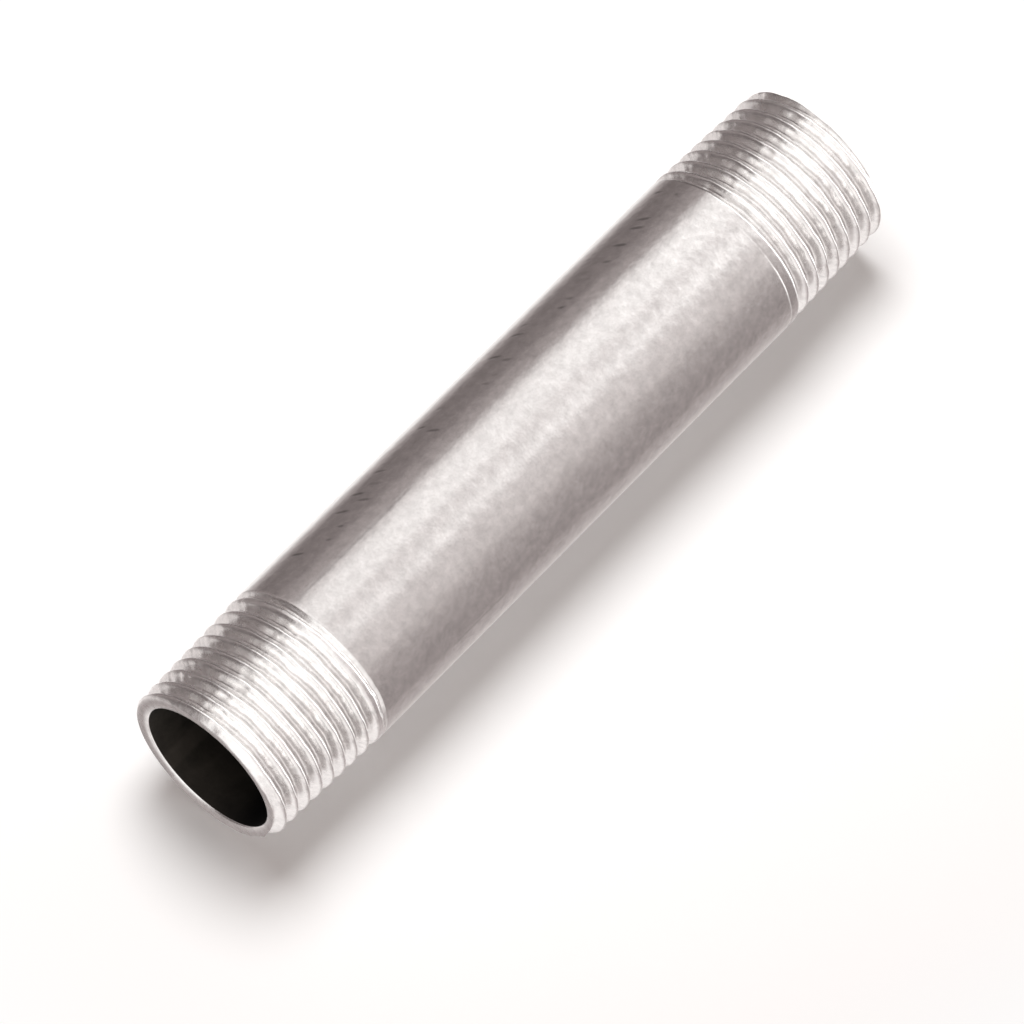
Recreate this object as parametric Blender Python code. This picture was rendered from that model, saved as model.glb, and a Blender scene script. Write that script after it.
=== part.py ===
"""Double nipple: a short length of half inch steel pipe with a taper pipe thread cut on each end.

The nipple stands on one end face, with its axis on Z and that face at z = 0. Units are metres.
It is one turned piece: a pipe blank is revolved, then a helical cutter takes the thread out of each end.
"""

import math

import bmesh
import bpy
from mathutils import Matrix, Vector

# The pipe that the nipple is cut from
LENGTH = 0.100
OUTSIDE_DIAMETER = 0.0213
WALL = 0.0023
OUTER_CHAMFER = 0.0003
BORE_CHAMFER = 0.0002

# The taper pipe threads, of one form but cut to a different length on each end
THREAD_PITCH = 0.0254 / 14
THREAD_ANGLE = math.radians(55)
THREAD_TAPER = 1 / 16
GAUGE_LENGTH = 0.0082
GAUGE_UNDERSIZE = 0.000345
LOWER_USEFUL_THREAD = 0.0143
UPPER_USEFUL_THREAD = 0.0150
RUN_OUT_TURNS = 1.25

# How the shapes are divided and cut
FACETS_ROUND = 48
LOWER_LEAD_IN_TURNS = 1.65
UPPER_LEAD_IN_TURNS = 1.25
CUTTER_SHOULDER = 0.00005
CUTTER_OVERHANG = 0.0008
WELD_DISTANCE = 0.000002
SHARP_EDGE = math.radians(30)

# Sizes worked out from the ones above
outside_radius = OUTSIDE_DIAMETER / 2
bore_radius = outside_radius - WALL
radius_taper = THREAD_TAPER / 2
crest_radius_at_end = outside_radius - GAUGE_UNDERSIZE / 2 - GAUGE_LENGTH * radius_taper
cone_length = (outside_radius - crest_radius_at_end) / radius_taper
sharp_v_height = THREAD_PITCH / (2 * math.tan(THREAD_ANGLE / 2))
thread_height = sharp_v_height * 2 / 3
root_half_width = THREAD_PITCH / 12
run_out_length = RUN_OUT_TURNS * THREAD_PITCH


def clear_scene():
    for old in list(bpy.data.objects):
        bpy.data.objects.remove(old, do_unlink=True)


def steel_material():
    """Galvanised steel: a neutral, slightly warm grey metal with a soft sheen."""
    steel = bpy.data.materials.new("galvanised_steel")
    steel.use_nodes = True
    shader = steel.node_tree.nodes["Principled BSDF"]
    shader.inputs["Base Color"].default_value = (0.60, 0.59, 0.58, 1)
    shader.inputs["Metallic"].default_value = 1.0
    shader.inputs["Roughness"].default_value = 0.34
    return steel


def object_from(mesh, name):
    """Turn a bmesh into a named object in the scene, with every face pointing out."""
    bmesh.ops.recalc_face_normals(mesh, faces=mesh.faces)
    data = bpy.data.meshes.new(name)
    mesh.to_mesh(data)
    mesh.free()
    made = bpy.data.objects.new(name, data)
    bpy.context.scene.collection.objects.link(made)
    return made


def crest_radius(from_end):
    """Radius of the crest line, which narrows towards the end of the pipe."""
    return crest_radius_at_end + from_end * radius_taper


def root_radius(from_end, useful_thread):
    """Radius of the groove's floor, which climbs out of the pipe past the useful thread."""
    if from_end <= useful_thread:
        return crest_radius(from_end) - thread_height
    deepest = crest_radius(useful_thread) - thread_height
    clear = outside_radius + CUTTER_SHOULDER
    return deepest + (clear - deepest) * (from_end - useful_thread) / run_out_length


def pipe_blank():
    """The pipe before threading: bore, end faces, chamfers and a slight cone at each end."""
    one_end = [
        (bore_radius, BORE_CHAMFER),
        (bore_radius + BORE_CHAMFER, 0),
        (crest_radius_at_end - OUTER_CHAMFER, 0),
        (crest_radius(OUTER_CHAMFER), OUTER_CHAMFER),
        (outside_radius, cone_length),
    ]
    other_end = [(radius, LENGTH - height) for radius, height in reversed(one_end)]

    mesh = bmesh.new()
    corners = [mesh.verts.new((radius, 0, height)) for radius, height in one_end + other_end]
    edges = [mesh.edges.new((corners[index - 1], corners[index])) for index in range(len(corners))]
    bmesh.ops.spin(
        mesh,
        geom=corners + edges,
        cent=(0, 0, 0),
        axis=(0, 0, 1),
        angle=2 * math.pi,
        steps=FACETS_ROUND,
        use_merge=True,
    )
    return object_from(mesh, "double_nipple")


def groove_section(from_end, floor):
    """Outline of the V cutter at one place on the helix, as points in the XZ plane."""
    shoulder = floor + thread_height + CUTTER_SHOULDER
    top = shoulder + CUTTER_OVERHANG
    shoulder_half_width = root_half_width + (shoulder - floor) * math.tan(THREAD_ANGLE / 2)
    half_outline = [
        (floor, root_half_width),
        (shoulder, shoulder_half_width),
        (top, shoulder_half_width),
    ]
    upper = [Vector((radius, 0, from_end + offset)) for radius, offset in half_outline]
    lower = [Vector((radius, 0, from_end - offset)) for radius, offset in reversed(half_outline)]
    return upper + lower


def thread_cutter(name, useful_thread, lead_in_turns):
    """A V swept up a right-hand conical helix, from below the end face until it leaves the pipe.

    Its sections fall midway between the edges of the pipe's facets, so no edge of the cutter runs into
    one of the pipe's and the cut stays clean.
    """
    turns = lead_in_turns + useful_thread / THREAD_PITCH + RUN_OUT_TURNS
    mesh = bmesh.new()
    previous = None
    for station in range(math.ceil(turns * FACETS_ROUND) + 1):
        turns_made = (station + 0.5) / FACETS_ROUND
        from_end = (turns_made - lead_in_turns) * THREAD_PITCH
        floor = root_radius(from_end, useful_thread)
        turned = Matrix.Rotation(turns_made * 2 * math.pi, 3, "Z")
        section = [mesh.verts.new(turned @ point) for point in groove_section(from_end, floor)]
        if previous is None:
            mesh.faces.new(section)
        else:
            for index in range(len(section)):
                mesh.faces.new((previous[index - 1], previous[index], section[index], section[index - 1]))
        previous = section
    mesh.faces.new(previous)

    cutter = object_from(mesh, name)
    cutter.hide_render = True
    cutter.display_type = "WIRE"
    return cutter


def cut_away(body, cutter):
    cut = body.modifiers.new(cutter.name, "BOOLEAN")
    cut.operation = "DIFFERENCE"
    cut.solver = "EXACT"
    cut.object = cutter


def settle_modifiers(body):
    """Keep the cut shape as the object's own mesh, and weld the points that fall together."""
    graph = bpy.context.evaluated_depsgraph_get()
    shape = bpy.data.meshes.new_from_object(body.evaluated_get(graph))
    mesh = bmesh.new()
    mesh.from_mesh(shape)
    bmesh.ops.remove_doubles(mesh, verts=mesh.verts, dist=WELD_DISTANCE)
    bmesh.ops.dissolve_degenerate(mesh, edges=mesh.edges, dist=WELD_DISTANCE)
    mesh.to_mesh(shape)
    mesh.free()
    body.modifiers.clear()
    body.data = shape
    shape.name = body.name


def build():
    clear_scene()
    nipple = pipe_blank()

    lower_cutter = thread_cutter("lower_thread_cutter", LOWER_USEFUL_THREAD, LOWER_LEAD_IN_TURNS)
    upper_cutter = thread_cutter("upper_thread_cutter", UPPER_USEFUL_THREAD, UPPER_LEAD_IN_TURNS)
    # The upper thread is cut with the pipe turned end for end, so both threads are right-hand
    upper_cutter.location = (0, 0, LENGTH)
    upper_cutter.rotation_euler = (math.pi, 0, 0)

    cut_away(nipple, lower_cutter)
    cut_away(nipple, upper_cutter)
    settle_modifiers(nipple)

    nipple.data.materials.clear()
    nipple.data.materials.append(steel_material())
    nipple.data.shade_smooth()
    nipple.data.set_sharp_from_angle(angle=SHARP_EDGE)


build()
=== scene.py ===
"""The looks of the double nipple: a galvanised steel pipe nipple, threaded at both ends.

The nipple stands on its lower end with its axis on Z. The photograph shows it lying on a pale floor, so the
stage is laid out in the photograph's own directions: "along" the pipe from the near end to the far end,
"aside" across the pipe in the floor towards the picture's lower right, and "above" the floor.
"""

import math

import bpy
import numpy as np
from mathutils import Matrix, Vector


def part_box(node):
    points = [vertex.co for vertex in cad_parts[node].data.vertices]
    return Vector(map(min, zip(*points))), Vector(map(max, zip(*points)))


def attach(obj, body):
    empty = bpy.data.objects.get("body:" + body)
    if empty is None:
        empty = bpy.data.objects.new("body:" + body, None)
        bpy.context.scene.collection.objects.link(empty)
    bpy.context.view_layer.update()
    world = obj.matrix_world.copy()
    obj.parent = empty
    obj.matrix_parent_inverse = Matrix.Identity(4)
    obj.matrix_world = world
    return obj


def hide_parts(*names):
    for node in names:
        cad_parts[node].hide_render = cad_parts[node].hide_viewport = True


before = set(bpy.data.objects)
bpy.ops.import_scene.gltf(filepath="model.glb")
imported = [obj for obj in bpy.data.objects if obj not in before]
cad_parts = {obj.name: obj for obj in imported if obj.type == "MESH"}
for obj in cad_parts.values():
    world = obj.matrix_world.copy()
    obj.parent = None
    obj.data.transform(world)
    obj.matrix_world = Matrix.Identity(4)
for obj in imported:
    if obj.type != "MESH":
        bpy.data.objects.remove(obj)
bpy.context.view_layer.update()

# Sizes read from the frame
low_corner, high_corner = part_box("double_nipple")
LENGTH = high_corner.z - low_corner.z
OUTSIDE_RADIUS = (high_corner.y - low_corner.y) / 2
MM = 0.001

# The pipe and its taper thread, as in the CAD part
WALL = 2.3 * MM
OUTER_CHAMFER = 0.3 * MM
BORE_CHAMFER = 0.2 * MM
PITCH = 25.4 / 14 * MM
FLANK_ANGLE = math.radians(27.5)
RADIUS_TAPER = 1 / 32
GAUGE_LENGTH = 8.2 * MM
GAUGE_UNDERSIZE = 0.345 * MM
LOWER_USEFUL_THREAD = 14.3 * MM
UPPER_USEFUL_THREAD = 15.0 * MM
RUN_OUT = 1.25 * PITCH
LOWER_LEAD_IN_TURNS = 1.65
UPPER_LEAD_IN_TURNS = 1.25
THREAD_HEIGHT = 0.640327 * PITCH
THREAD_ROUNDING = 0.137329 * PITCH
BORE_RADIUS = OUTSIDE_RADIUS - WALL
CREST_AT_END = OUTSIDE_RADIUS - GAUGE_UNDERSIZE / 2 - GAUGE_LENGTH * RADIUS_TAPER

# How finely the surface is divided
SEGMENTS = 236
THREAD_ZONE = 17.9 * MM
THREAD_ROW = 0.105 * MM
BODY_ROWS = 24
BORE_ROWS = 25
SHARP_EDGE = math.radians(50)

# The zinc softens the thread's form towards a wave that doesn't quite reach the groove's floor
ZINC_FILL = 0.8
ZINC_WAVE = 0.9

# Wear of the cut threads: how far they wander, how deep they are torn and nicked, and how round their
# crests are worn. Tearing sets in with the groove's depth, given as a share of the thread's height.
THREAD_WANDER = 0.09 * MM
TORN_DEPTH = 0.015 * MM
NICK_DEPTH = 0.10 * MM
NICK_RARITY = 0.45
CREST_WEAR = 0.26 * MM
WEAR_SETS_IN_OVER = 0.3
WEAR_ON_PLAIN_CREST = 0.35

# Random patterns of that wear: seed, cells round the pipe and height of a cell
WANDER_CELLS = (11, 23, 2.6 * MM)
FINE_WANDER_CELLS = (12, 70, 0.9 * MM)
TORN_CELLS = (13, 150, 0.42 * MM)
FINE_TORN_CELLS = (14, 118, 0.21 * MM)
NICK_CELLS = (15, 90, 0.5 * MM)

# The photograph's directions in the standing part's frame
PHOTO_SIDE_AZIMUTH = math.radians(45)
above = Vector((math.sin(PHOTO_SIDE_AZIMUTH), -math.cos(PHOTO_SIDE_AZIMUTH), 0))
along = Vector((0, 0, -1))
aside = along.cross(above)
pipe_centre = Vector((0, 0, LENGTH / 2))
floor_point = pipe_centre - above * OUTSIDE_RADIUS


def direction(along_part, aside_part, above_part):
    """A unit vector given by its parts in the photograph's directions."""
    return (along * along_part + aside * aside_part + above * above_part).normalized()


def link(thing):
    bpy.context.scene.collection.objects.link(thing)
    return thing


# Camera
CAMERA_BACK = direction(-0.3796, 0.3275, 0.8652)
CAMERA_UP = direction(0.6551, -0.5652, 0.5014)
CAMERA_DISTANCE = 1.122
FRAME_WIDTH = 110.23 * MM
SENSOR_WIDTH = 36.0
IMAGE_SIZE = 1024
CENTRE_PIXEL = (515.6, 459.9)


def add_camera():
    pixel = FRAME_WIDTH / IMAGE_SIZE
    right = CAMERA_UP.cross(CAMERA_BACK)
    aim = (
        pipe_centre
        - right * (CENTRE_PIXEL[0] - IMAGE_SIZE / 2) * pixel
        - CAMERA_UP * (IMAGE_SIZE / 2 - CENTRE_PIXEL[1]) * pixel
    )
    data = bpy.data.cameras.new("photo_camera")
    data.sensor_width = SENSOR_WIDTH
    data.lens = SENSOR_WIDTH * CAMERA_DISTANCE / FRAME_WIDTH
    data.clip_start = 0.01
    data.clip_end = 20
    camera = link(bpy.data.objects.new("photo_camera", data))
    turn = Matrix((right, CAMERA_UP, CAMERA_BACK)).transposed()
    camera.matrix_world = Matrix.Translation(aim + CAMERA_BACK * CAMERA_DISTANCE) @ turn.to_4x4()
    bpy.context.scene.camera = camera


# Shape of the nipple
def crest_cone(from_end):
    return CREST_AT_END + from_end * RADIUS_TAPER


def blank_radius(from_end):
    """The pipe's outside before threading: chamfer, slight cone, then the plain pipe."""
    chamfer = CREST_AT_END - OUTER_CHAMFER + from_end
    return np.minimum(np.minimum(chamfer, crest_cone(from_end)), OUTSIDE_RADIUS)


def thread_form(offset):
    """Height above the groove's floor of the rounded 55 degree form, softened by the zinc, at an offset
    from the groove's centre."""
    reach = np.abs(offset)
    arc = THREAD_ROUNDING * math.cos(FLANK_ANGLE)
    arc_height = THREAD_ROUNDING * (1 - math.sin(FLANK_ANGLE))
    from_crest = np.clip(PITCH / 2 - reach, 0, arc)
    root = THREAD_ROUNDING - np.sqrt(THREAD_ROUNDING**2 - np.clip(reach, 0, arc) ** 2)
    flank = arc_height + (reach - arc) / math.tan(FLANK_ANGLE)
    crest = THREAD_HEIGHT - THREAD_ROUNDING + np.sqrt(THREAD_ROUNDING**2 - from_crest**2)
    cut = np.where(reach < arc, root, np.where(reach > PITCH / 2 - arc, crest, flank))
    wave = THREAD_HEIGHT * (0.5 - 0.5 * np.cos(2 * math.pi * reach / PITCH))
    zinc = wave * ZINC_WAVE + THREAD_HEIGHT * (1 - ZINC_WAVE)
    return cut * (1 - ZINC_FILL) + zinc * ZINC_FILL


def soft_lower(first, second, blend):
    """The smaller of two heights, with the corner between them rounded over."""
    near = np.clip(0.5 + 0.5 * (second - first) / blend, 0, 1)
    return second * (1 - near) + first * near - blend * near * (1 - near)


def smooth_noise(angle, height, seed, round_cells, cell_height):
    """Smooth random values from -1 to 1 that close up round the pipe."""
    rows = math.ceil(LENGTH / cell_height) + 2
    table = np.random.default_rng(seed).uniform(-1, 1, (rows, round_cells))
    across = angle / (2 * math.pi) % 1 * round_cells
    up = height / cell_height
    column = np.floor(across).astype(int)
    row = np.floor(up).astype(int)
    share_across = across - column
    share_up = up - row
    share_across = share_across**2 * (3 - 2 * share_across)
    share_up = share_up**2 * (3 - 2 * share_up)
    left = column % round_cells
    right = (column + 1) % round_cells
    lower = table[row, left] * (1 - share_across) + table[row, right] * share_across
    upper = table[row + 1, left] * (1 - share_across) + table[row + 1, right] * share_across
    return lower * (1 - share_up) + upper * share_up


def outer_radius(angle, height):
    """Radius of the outside at each angle round the pipe and height up it."""
    upper = height > LENGTH / 2
    from_end = np.where(upper, LENGTH - height, height)
    turned = np.where(upper, -angle, angle) / (2 * math.pi)
    lead_in = np.where(upper, UPPER_LEAD_IN_TURNS, LOWER_LEAD_IN_TURNS)
    useful = np.where(upper, UPPER_USEFUL_THREAD, LOWER_USEFUL_THREAD)

    wander = smooth_noise(angle, height, *WANDER_CELLS) * THREAD_WANDER
    wander = wander + smooth_noise(angle, height, *FINE_WANDER_CELLS) * THREAD_WANDER / 2
    turns = (from_end + wander) / PITCH - turned + lead_in
    offset = (turns + 0.5) % 1 * PITCH - PITCH / 2
    centre_from_end = from_end - offset
    climb_height = OUTSIDE_RADIUS - crest_cone(useful) + THREAD_HEIGHT
    climb = np.clip((centre_from_end - useful) / RUN_OUT, 0, None) * climb_height
    groove = crest_cone(from_end) - THREAD_HEIGHT + climb + thread_form(offset)
    blank = blank_radius(from_end)
    radius = soft_lower(blank, groove, CREST_WEAR)

    depth = (blank - groove) / THREAD_HEIGHT
    threaded = np.clip(depth / WEAR_SETS_IN_OVER + WEAR_ON_PLAIN_CREST, 0, 1)
    in_thread = threaded * (from_end < useful + RUN_OUT)
    torn = smooth_noise(angle, height, *TORN_CELLS) + smooth_noise(angle, height, *FINE_TORN_CELLS) / 2
    nicked = np.clip(smooth_noise(angle, height, *NICK_CELLS) - NICK_RARITY, 0, None)
    worn = torn * TORN_DEPTH - nicked * NICK_DEPTH
    return np.minimum(radius + worn * in_thread, OUTSIDE_RADIUS)


def ring_heights():
    """Heights of the outside's rings: close in the threads, wide on the plain pipe."""
    rows = round(THREAD_ZONE / THREAD_ROW)
    lower = np.linspace(0, THREAD_ZONE, rows + 1)
    body = np.linspace(THREAD_ZONE, LENGTH - THREAD_ZONE, BODY_ROWS + 1)[1:-1]
    return np.concatenate([lower, body, LENGTH - lower[::-1]])


def nipple_mesh():
    """The whole surface as rings of points: up the outside, then back down the bore."""
    angles = np.arange(SEGMENTS) * 2 * math.pi / SEGMENTS
    rings = []
    for height in ring_heights():
        rings.append((outer_radius(angles, np.full(SEGMENTS, height)), height))
    mouth = BORE_RADIUS + BORE_CHAMFER
    rings.append((np.full(SEGMENTS, mouth), LENGTH))
    for height in np.linspace(LENGTH - BORE_CHAMFER, BORE_CHAMFER, BORE_ROWS):
        rings.append((np.full(SEGMENTS, BORE_RADIUS), height))
    rings.append((np.full(SEGMENTS, mouth), 0.0))

    points = []
    for radii, height in rings:
        for angle, radius in zip(angles, radii):
            points.append((radius * math.cos(angle), radius * math.sin(angle), height))
    faces = []
    count = len(rings)
    for ring in range(count):
        here = ring * SEGMENTS
        there = (ring + 1) % count * SEGMENTS
        for segment in range(SEGMENTS):
            following = (segment + 1) % SEGMENTS
            faces.append((here + segment, here + following, there + following, there + segment))
    mesh = bpy.data.meshes.new("nipple_surface")
    mesh.from_pydata(points, [], faces)
    mesh.update()
    return mesh


# Building materials out of nodes
def add_node(tree, kind, inputs=(), **settings):
    """A new node with its settings made and its inputs set, or wired where the value is another's output."""
    node = tree.nodes.new(kind)
    for name, value in settings.items():
        setattr(node, name, value)
    for key, value in inputs:
        if isinstance(value, bpy.types.NodeSocket):
            tree.links.new(value, node.inputs[key])
        else:
            node.inputs[key].default_value = value
    return node


def calc(tree, operation, *values):
    node = add_node(tree, "ShaderNodeMath", list(enumerate(values)), operation=operation)
    return node.outputs[0]


def vector_calc(tree, operation, *values):
    return add_node(tree, "ShaderNodeVectorMath", list(enumerate(values)), operation=operation)


def fade(tree, value, start, end, low=0.0, high=1.0):
    """A smooth step from low, where the value is at start, to high, where it is at end."""
    inputs = [("Value", value), ("From Min", start), ("From Max", end), ("To Min", low), ("To Max", high)]
    return add_node(tree, "ShaderNodeMapRange", inputs, interpolation_type="SMOOTHSTEP").outputs["Result"]


def noise(tree, place, scale, detail, roughness):
    inputs = [("Vector", place), ("Scale", scale), ("Detail", detail), ("Roughness", roughness)]
    return add_node(tree, "ShaderNodeTexNoise", inputs).outputs["Fac"]


def scaled_colour(tree, colour, brightness):
    inputs = [(0, colour), ("Scale", brightness)]
    return add_node(tree, "ShaderNodeVectorMath", inputs, operation="SCALE").outputs[0]


def blend_colours(tree, share, first, second):
    inputs = [(0, share), (6, first), (7, second)]
    return add_node(tree, "ShaderNodeMix", inputs, data_type="RGBA").outputs[2]


def sum_of_shares(tree, base, shares, patterns):
    """A base value plus each named pattern times its share."""
    total = base
    for name, share in shares.items():
        total = calc(tree, "ADD", total, calc(tree, "MULTIPLY", patterns[name], share))
    return total


# Galvanised steel. Its patterns are noises with a scale, detail and roughness; the draw marks' noise is
# squeezed along the pipe, so that it runs out into lengthwise streaks.
CLOUDS = (260, 3, 0.5)
RIPPLE = (620, 2, 0.5)
MOTTLE = (880, 4, 0.68)
DIMPLES = (1250, 2, 0.5)
GRAIN = (2600, 3, 0.6)
TORN_METAL = (2300, 4, 0.65)
DRAW_MARKS = (1500, 2, 0.5)
DRAW_SQUEEZE = (1, 1, 0.03)
ZINC_COLOUR = (0.75, 0.742, 0.735)

# What each pattern adds to the zinc's tone, relief and roughness
BASE_TONE = 0.69
TONE_SHARES = {
    "clouds": 0.05,
    "mottle": 0.62,
    "scuffs": -0.45,
    "marked_lines": -0.30,
    "in_thread": 0.15,
    # The end faces are made darker: painted shade
    "painted_face_shade": -0.20,
}
RELIEF_DEPTH = 0.05 * MM
RELIEF_SHARES = {
    "ripple": 0.4,
    "grain": 0.08,
    "dimples": 0.22,
    "draw_marks": 0.04,
    "scuffs": -0.3,
    "lines": -0.02,
    "torn_thread": 0.35,
}
BASE_ROUGHNESS = 0.17
ROUGHNESS_SHARES = {"clouds": 0.06, "in_thread": 0.07, "in_bore": 0.45}
BORE_SPECULAR = 0.15

# Where the look changes: up the pipe at each thread's end, a little ragged, on the bore and on the end faces
RAGGED_EDGE = (900, 2, 0.5)
RAGGED_BY = 0.4 * MM
UPPER_THREAD_EDGE = (LENGTH - 16.8 * MM, LENGTH - 16.2 * MM)
LOWER_THREAD_EDGE = (15.7 * MM, 15.1 * MM)
BORE_EDGE = (BORE_RADIUS + 0.06 * MM, BORE_RADIUS + 0.02 * MM)
FACE_EDGE = (LENGTH / 2 - 0.12 * MM, LENGTH / 2 - 0.04 * MM)

# Slanted scuffs in one rubbed strip: cells of a length and width, each with a chance to hold a scuff
RUBBED_STRIP = math.radians(-9)
STRIP_EDGE = (math.radians(10.5), math.radians(6.5))
SCUFF_SLANT = math.radians(26)
SCUFF_LENGTH = 5.0 * MM
SCUFF_WIDTH = 1.3 * MM
SCUFF_EDGE = (0.25, 0.06)
SCUFF_CHANCE = (0.30, 0.60)

# Two fine lengthwise lines: angle round the pipe, lowest and highest point
DRAW_LINES = [
    (math.radians(-32.7), 65 * MM, 82 * MM),
    (math.radians(-127), 64 * MM, 72 * MM),
]
LINE_EDGE = (0.30 * MM, 0.05 * MM)
LINE_END = 1 * MM

# The dark bore, with a painted lit side (painted light) that is palest at its weld seam; the edges are
# cosines of the angle from the seam
BORE_COLOUR = (0.052, 0.047, 0.040)
BORE_SPECKLE = (420, 4, 0.6)
BORE_SEAM = math.radians(90)
PAINTED_LIT_SIDE_EDGE = (0.1, 0.95)
SEAM_EDGE = (0.990, 0.998)
BORE_BASE_SHADE = 0.04
PAINTED_LIT_SIDE_LEVEL = 1.5
SEAM_SHADE = 0.35


def slanted_scuffs(tree, round_way, height, angle):
    """Short scuffs at a slant in the rubbed strip, one in each chosen cell of a stretched grid."""
    run = calc(
        tree,
        "ADD",
        calc(tree, "MULTIPLY", round_way, math.cos(SCUFF_SLANT) / SCUFF_LENGTH),
        calc(tree, "MULTIPLY", height, math.sin(SCUFF_SLANT) / SCUFF_LENGTH),
    )
    side = calc(
        tree,
        "SUBTRACT",
        calc(tree, "MULTIPLY", height, math.cos(SCUFF_SLANT) / SCUFF_WIDTH),
        calc(tree, "MULTIPLY", round_way, math.sin(SCUFF_SLANT) / SCUFF_WIDTH),
    )
    slanted = add_node(tree, "ShaderNodeCombineXYZ", [(0, run), (1, side)]).outputs[0]
    inputs = [("Vector", slanted), ("Scale", 1.0)]
    cells = add_node(tree, "ShaderNodeTexVoronoi", inputs, voronoi_dimensions="2D").outputs
    chance = add_node(tree, "ShaderNodeSeparateColor", [(0, cells["Color"])]).outputs[0]
    off_strip = calc(tree, "ABSOLUTE", calc(tree, "SUBTRACT", angle, RUBBED_STRIP))
    chosen = calc(
        tree,
        "MULTIPLY",
        fade(tree, cells["Distance"], *SCUFF_EDGE),
        fade(tree, chance, *SCUFF_CHANCE),
    )
    return calc(tree, "MULTIPLY", chosen, fade(tree, off_strip, *STRIP_EDGE))


def lengthwise_lines(tree, height, angle):
    """The fine lines of DRAW_LINES, faded out at their ends."""
    lines = None
    for line_angle, low, high in DRAW_LINES:
        turned = calc(tree, "ABSOLUTE", calc(tree, "SUBTRACT", angle, line_angle))
        thin = fade(tree, calc(tree, "MULTIPLY", turned, OUTSIDE_RADIUS), *LINE_EDGE)
        start = fade(tree, height, low - LINE_END, low + LINE_END)
        stop = fade(tree, height, high + LINE_END, high - LINE_END)
        line = calc(tree, "MULTIPLY", thin, calc(tree, "MULTIPLY", start, stop))
        lines = line if lines is None else calc(tree, "MAXIMUM", lines, line)
    return lines


def bore_colour_with_painted_light(tree, place, angle):
    """Dark, with a painted lit side (painted light) and the weld seam in the middle of it."""
    turned_from_seam = calc(tree, "COSINE", calc(tree, "SUBTRACT", angle, BORE_SEAM))
    # Painted light: one side of the bore is made paler, as if lit through the mouth.
    painted_lit_side = calc(tree, "MULTIPLY", fade(tree, turned_from_seam, *PAINTED_LIT_SIDE_EDGE), PAINTED_LIT_SIDE_LEVEL)
    seam = calc(tree, "MULTIPLY", fade(tree, turned_from_seam, *SEAM_EDGE), SEAM_SHADE)
    bore_speckle = noise(tree, place, *BORE_SPECKLE)
    shade = calc(tree, "MULTIPLY", bore_speckle, calc(tree, "ADD", painted_lit_side, BORE_BASE_SHADE))
    return scaled_colour(tree, BORE_COLOUR, calc(tree, "ADD", shade, seam))


def steel_material():
    """Galvanised steel: a mottled zinc skin, scuffs and draw marks, rougher cut threads, end faces darkened
    as painted shade and a dark bore with a painted lit side.
    """
    material = bpy.data.materials.new("galvanised_steel")
    material.use_nodes = True
    tree = material.node_tree
    shader = tree.nodes["Principled BSDF"]

    place = add_node(tree, "ShaderNodeTexCoord").outputs["Object"]
    parts = add_node(tree, "ShaderNodeSeparateXYZ", [(0, place)]).outputs
    height = parts["Z"]
    angle = calc(tree, "ARCTAN2", parts["Y"], parts["X"])
    flat = vector_calc(tree, "MULTIPLY", place, (1, 1, 0)).outputs[0]
    radius = vector_calc(tree, "LENGTH", flat).outputs["Value"]
    round_way = calc(tree, "MULTIPLY", angle, OUTSIDE_RADIUS)
    from_middle = calc(tree, "ABSOLUTE", calc(tree, "SUBTRACT", height, LENGTH / 2))

    ragged = calc(tree, "MULTIPLY", noise(tree, place, *RAGGED_EDGE), RAGGED_BY)
    edge = calc(tree, "ADD", height, ragged)
    in_upper = fade(tree, edge, *UPPER_THREAD_EDGE)
    in_lower = fade(tree, edge, *LOWER_THREAD_EDGE)
    in_thread = calc(tree, "MAXIMUM", in_upper, in_lower)
    in_bore = fade(tree, radius, *BORE_EDGE)

    squeezed = vector_calc(tree, "MULTIPLY", place, DRAW_SQUEEZE).outputs[0]
    draw_marks = noise(tree, squeezed, *DRAW_MARKS)
    lines = lengthwise_lines(tree, height, angle)
    scuffs = slanted_scuffs(tree, round_way, height, angle)
    patterns = {
        "in_thread": in_thread,
        "in_bore": in_bore,
        # The end faces, for their painted shade
        "painted_face_shade": fade(tree, from_middle, *FACE_EDGE),
        "clouds": noise(tree, place, *CLOUDS),
        "ripple": noise(tree, place, *RIPPLE),
        "mottle": noise(tree, place, *MOTTLE),
        "dimples": noise(tree, place, *DIMPLES),
        "grain": noise(tree, place, *GRAIN),
        "torn_thread": calc(tree, "MULTIPLY", noise(tree, place, *TORN_METAL), in_thread),
        "draw_marks": draw_marks,
        "lines": lines,
        "marked_lines": calc(tree, "MULTIPLY", lines, draw_marks),
        "scuffs": calc(tree, "MULTIPLY", scuffs, calc(tree, "SUBTRACT", 1.0, in_thread)),
    }

    relief_height = sum_of_shares(tree, 0.0, RELIEF_SHARES, patterns)
    inputs = [("Strength", 1.0), ("Distance", RELIEF_DEPTH), ("Height", relief_height)]
    relief = add_node(tree, "ShaderNodeBump", inputs).outputs[0]
    tone = sum_of_shares(tree, BASE_TONE, TONE_SHARES, patterns)
    zinc = scaled_colour(tree, ZINC_COLOUR, tone)
    colour = blend_colours(tree, in_bore, zinc, bore_colour_with_painted_light(tree, place, angle))
    roughness = sum_of_shares(tree, BASE_ROUGHNESS, ROUGHNESS_SHARES, patterns)

    tree.links.new(colour, shader.inputs["Base Color"])
    tree.links.new(calc(tree, "SUBTRACT", 1.0, in_bore), shader.inputs["Metallic"])
    tree.links.new(roughness, shader.inputs["Roughness"])
    tree.links.new(relief, shader.inputs["Normal"])
    shader.inputs["Specular IOR Level"].default_value = BORE_SPECULAR
    return material


def add_nipple():
    mesh = nipple_mesh()
    mesh.materials.append(steel_material())
    mesh.shade_smooth()
    mesh.set_sharp_from_angle(angle=SHARP_EDGE)
    nipple = link(bpy.data.objects.new("nipple_surface", mesh))
    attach(nipple, "root")
    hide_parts("double_nipple")


# The floor's size and colour, and the distances from the pipe's centre over which it turns plain white
FLOOR_HALF = 2.0
FLOOR_GREY = 0.9
FLOOR_TURNS_WHITE = (64 * MM, 100 * MM)


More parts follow.
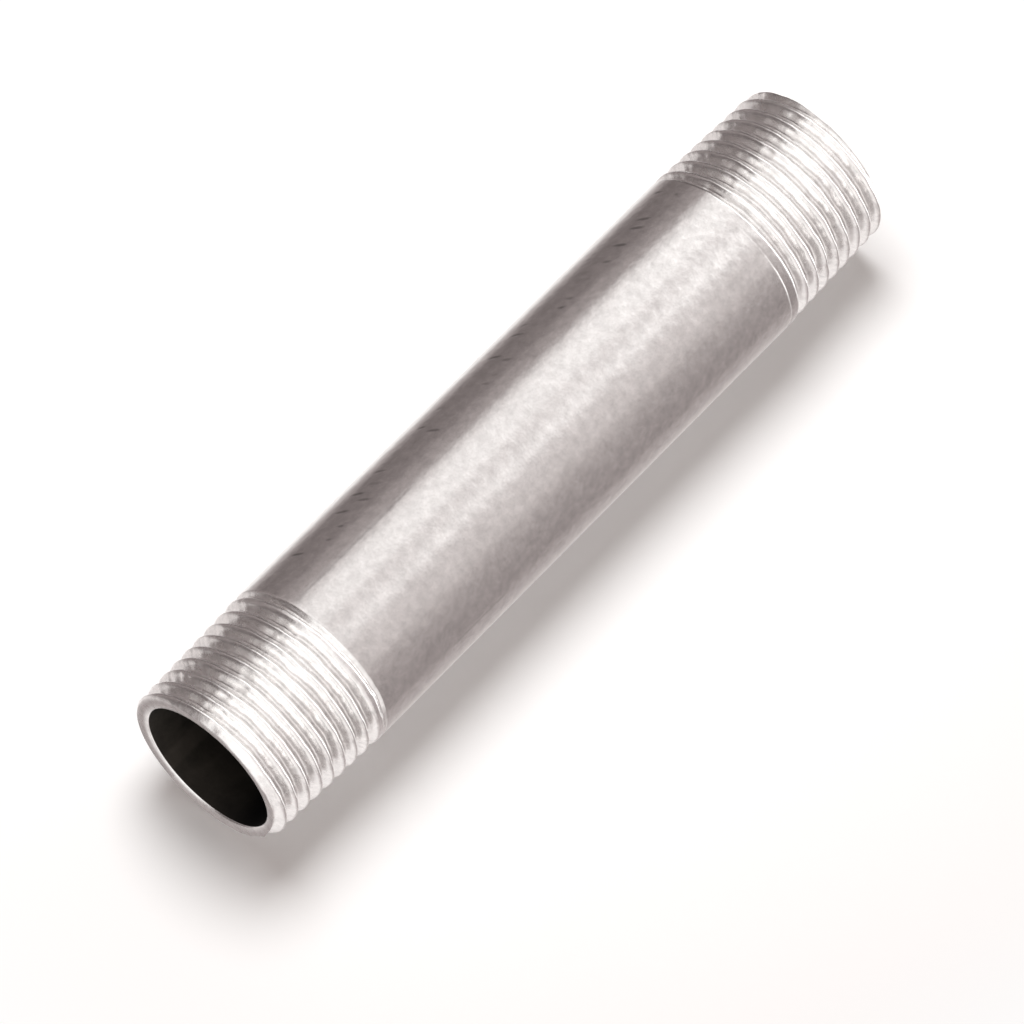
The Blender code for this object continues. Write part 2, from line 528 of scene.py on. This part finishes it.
def add_floor():
    """The pale floor of the photograph: the plane that the pipe lies against, seen from its front only.

    Well away from the pipe the camera sees it as plain white.
    """
    corners = [
        floor_point + along * FLOOR_HALF * a + aside * FLOOR_HALF * b
        for a, b in ((-1, -1), (1, -1), (1, 1), (-1, 1))
    ]
    mesh = bpy.data.meshes.new("pale_floor")
    mesh.from_pydata(corners, [], [(0, 3, 2, 1)])
    material = bpy.data.materials.new("pale_floor")
    material.use_nodes = True
    tree = material.node_tree
    shader = tree.nodes["Principled BSDF"]
    shader.inputs["Base Color"].default_value = (FLOOR_GREY, FLOOR_GREY, FLOOR_GREY, 1)
    shader.inputs["Roughness"].default_value = 1.0
    shader.inputs["Specular IOR Level"].default_value = 0.0

    place = add_node(tree, "ShaderNodeTexCoord").outputs["Object"]
    distance = vector_calc(tree, "DISTANCE", place, pipe_centre).outputs["Value"]
    is_camera = add_node(tree, "ShaderNodeLightPath").outputs["Is Camera Ray"]
    white = add_node(tree, "ShaderNodeEmission", [("Color", (1, 1, 1, 1)), ("Strength", 1.0)]).outputs[0]
    far_away = calc(tree, "MULTIPLY", fade(tree, distance, *FLOOR_TURNS_WHITE), is_camera)
    inputs = [(0, far_away), (1, shader.outputs[0]), (2, white)]
    front = add_node(tree, "ShaderNodeMixShader", inputs).outputs[0]
    clear = add_node(tree, "ShaderNodeBsdfTransparent").outputs[0]
    back = add_node(tree, "ShaderNodeNewGeometry").outputs["Backfacing"]
    shown = add_node(tree, "ShaderNodeMixShader", [(0, back), (1, front), (2, clear)]).outputs[0]
    tree.links.new(shown, tree.nodes["Material Output"].inputs["Surface"])
    mesh.materials.append(material)
    floor = link(bpy.data.objects.new("pale_floor", mesh))
    floor.visible_glossy = False


# The lamp, placed from the point on the floor under the pipe's centre
LAMP_PLACE = along * 0.045 - aside * 0.088 + above * 0.330
LAMP_SIZE = 0.215
LAMP_LEVEL = 0.98


def add_light():
    """One soft round lamp above the pipe, set towards the picture's upper left. It throws the shadow."""
    data = bpy.data.lights.new("key", "AREA")
    data.shape = "DISK"
    data.size = LAMP_SIZE
    data.energy = LAMP_LEVEL * math.pi**2 * LAMP_PLACE.length_squared
    key = link(bpy.data.objects.new("key", data))
    key.location = floor_point + LAMP_PLACE
    key.rotation_mode = "QUATERNION"
    key.rotation_quaternion = LAMP_PLACE.to_track_quat("Z", "Y")
    key.visible_glossy = False
    key.visible_camera = False


# What the metal sees round the pipe's sides: degrees from straight above, towards the aside direction, and
# brightness. A softbox hangs overhead. On one side of it the room is dark and the floor is lit; on the
# other the room is grey and the floor lies in the pipe's shadow.
STUDIO_ROUND = [
    (-180, 0.62),
    (-160, 1.05),
    (-138, 1.15),
    (-122, 0.50),
    (-106, 0.22),
    (-71, 0.27),
    (-64, 0.40),
    (-48, 0.42),
    (-40, 0.83),
    (-28, 1.00),
    (-8, 1.01),
    (3, 0.77),
    (12, 0.77),
    (20, 0.89),
    (28, 0.91),
    (35, 0.68),
    (46, 0.69),
    (60, 0.68),
    (67, 0.65),
    (78, 0.51),
    (90, 0.42),
    (112, 0.36),
    (136, 0.35),
    (148, 0.48),
    (180, 0.62),
]
# The same beyond the far end, where bright panels reach further down
STUDIO_FAR = [
    (-180, 1.00),
    (-130, 0.90),
    (-108, 0.12),
    (-60, 0.12),
    (-50, 0.40),
    (-42, 1.30),
    (-32, 1.95),
    (-20, 2.05),
    (10, 2.05),
    (50, 2.60),
    (120, 2.60),
    (150, 1.50),
    (180, 1.00),
]
# Beyond the near end, over the floor and on it: the aside part of the direction, and brightness
STUDIO_NEAR = [
    (-1.0, 0.30),
    (-0.62, 0.14),
    (-0.50, 0.14),
    (-0.40, 0.34),
    (-0.26, 1.08),
    (-0.10, 1.25),
    (0.28, 1.28),
    (0.45, 1.20),
    (0.64, 1.08),
    (0.80, 1.00),
    (1.0, 0.92),
]
FLOOR_NEAR = [
    (-1.0, 1.0),
    (-0.66, 0.85),
    (-0.40, 0.44),
    (-0.28, 0.46),
    (0.0, 1.00),
    (0.25, 1.02),
    (0.45, 0.70),
    (0.64, 0.45),
    (1.0, 0.42),
]
# The brightness at the end of the along direction, which is straight below the standing part
STRAIGHT_BELOW = 0.85

# Where one of them gives way to the next, by the direction's part along, above or aside. On the shadow's
# side the far end sets in later, and there the lit floor is seen before the shadow is.
FAR_SETS_IN = (0.37, 0.58)
LATE_SIDE = (math.radians(28), math.radians(58))
LATE_BY = 0.09
BELOW_SETS_IN = (0.82, 0.93)
NEAR_SETS_IN = (0.20, -0.15)
FLOOR_SETS_IN = (-0.36, -0.50)
LIT_FLOOR_SIDE = (0.30, 0.60)
LIT_FLOOR_BY = 0.22

# Top of the brightness scale, and the even light that everything but mirrored rays gets from the room
STUDIO_PEAK = 2.7
FILL = 0.41
FILL_TINT = (1.0, 0.886, 0.84, 1)

# The room's green and blue as shares of its red: at the brightness of its darks, at most, and how fast
# they rise between
DARK_BRIGHTNESS = 0.28
DARK_GREEN = 0.86
DARK_BLUE = 0.845
LIGHT_GREEN = 0.985
LIGHT_BLUE = 0.975
NEUTRAL_RISE = 0.125


def warm_grey(brightness):
    """The room's colour at a brightness: nearly neutral in its lights, warmer in its darks."""
    step = NEUTRAL_RISE * (brightness - DARK_BRIGHTNESS)
    green = min(DARK_GREEN + step, LIGHT_GREEN)
    blue = min(DARK_BLUE + step, LIGHT_BLUE)
    share = brightness / STUDIO_PEAK
    return (share, share * green, share * blue, 1)


def brightness_ramp(tree, value, start, end, stops):
    """The studio's light as a row of brightness stops along a value from start to end."""
    span = [("Value", value), ("From Min", start), ("From Max", end)]
    share = add_node(tree, "ShaderNodeMapRange", span).outputs["Result"]
    ramp = add_node(tree, "ShaderNodeValToRGB", [("Fac", share)])
    ramp.color_ramp.interpolation = "EASE"
    elements = ramp.color_ramp.elements
    while len(elements) > 1:
        elements.remove(elements[-1])
    for index, (at, brightness) in enumerate(stops):
        position = (at - stops[0][0]) / (stops[-1][0] - stops[0][0])
        stop = elements[0] if index == 0 else elements.new(position)
        stop.position = position
        stop.color = warm_grey(brightness)
    return ramp.outputs["Color"]


def studio_colour(tree):
    """The colour of the surroundings in each direction."""
    place = add_node(tree, "ShaderNodeTexCoord").outputs["Generated"]
    along_part, aside_part, above_part = (
        vector_calc(tree, "DOT_PRODUCT", place, axis).outputs["Value"] for axis in (along, aside, above)
    )
    turn = calc(tree, "ARCTAN2", aside_part, above_part)
    round_sides = brightness_ramp(tree, turn, -math.pi, math.pi, STUDIO_ROUND)
    far_end = brightness_ramp(tree, turn, -math.pi, math.pi, STUDIO_FAR)
    near_room = brightness_ramp(tree, aside_part, -1.0, 1.0, STUDIO_NEAR)
    near_floor = brightness_ramp(tree, aside_part, -1.0, 1.0, FLOOR_NEAR)

    lit_floor = fade(tree, aside_part, *LIT_FLOOR_SIDE, 0.0, LIT_FLOOR_BY)
    drop = calc(tree, "ADD", above_part, lit_floor)
    near_end = blend_colours(tree, fade(tree, drop, *FLOOR_SETS_IN), near_room, near_floor)
    late = fade(tree, turn, *LATE_SIDE, 0.0, LATE_BY)
    beyond = fade(tree, calc(tree, "SUBTRACT", along_part, late), *FAR_SETS_IN)
    room = blend_colours(tree, beyond, round_sides, far_end)
    room = blend_colours(tree, fade(tree, along_part, *BELOW_SETS_IN), room, warm_grey(STRAIGHT_BELOW))
    return blend_colours(tree, fade(tree, along_part, *NEAR_SETS_IN), room, near_end)


def add_world():
    """Mirrored rays see the studio, the camera sees white, and everything else gets an even fill."""
    world = bpy.data.worlds.new("studio")
    bpy.context.scene.world = world
    world.use_nodes = True
    world.cycles.sampling_method = "NONE"
    tree = world.node_tree
    tree.nodes.clear()

    def background(colour, strength):
        return add_node(tree, "ShaderNodeBackground", [("Color", colour), ("Strength", strength)]).outputs[0]

    def mix(share, first, second):
        return add_node(tree, "ShaderNodeMixShader", [(0, share), (1, first), (2, second)]).outputs[0]

    path = add_node(tree, "ShaderNodeLightPath").outputs
    mirrored = calc(tree, "MAXIMUM", path["Is Glossy Ray"], path["Is Transmission Ray"])
    soft = mix(mirrored, background(FILL_TINT, FILL), background(studio_colour(tree), STUDIO_PEAK))
    seen = mix(path["Is Camera Ray"], soft, background((1, 1, 1, 1), 1.0))
    add_node(tree, "ShaderNodeOutputWorld", [("Surface", seen)])


bpy.context.scene.view_settings.view_transform = "Standard"
add_nipple()
add_floor()
add_light()
add_world()
add_camera()
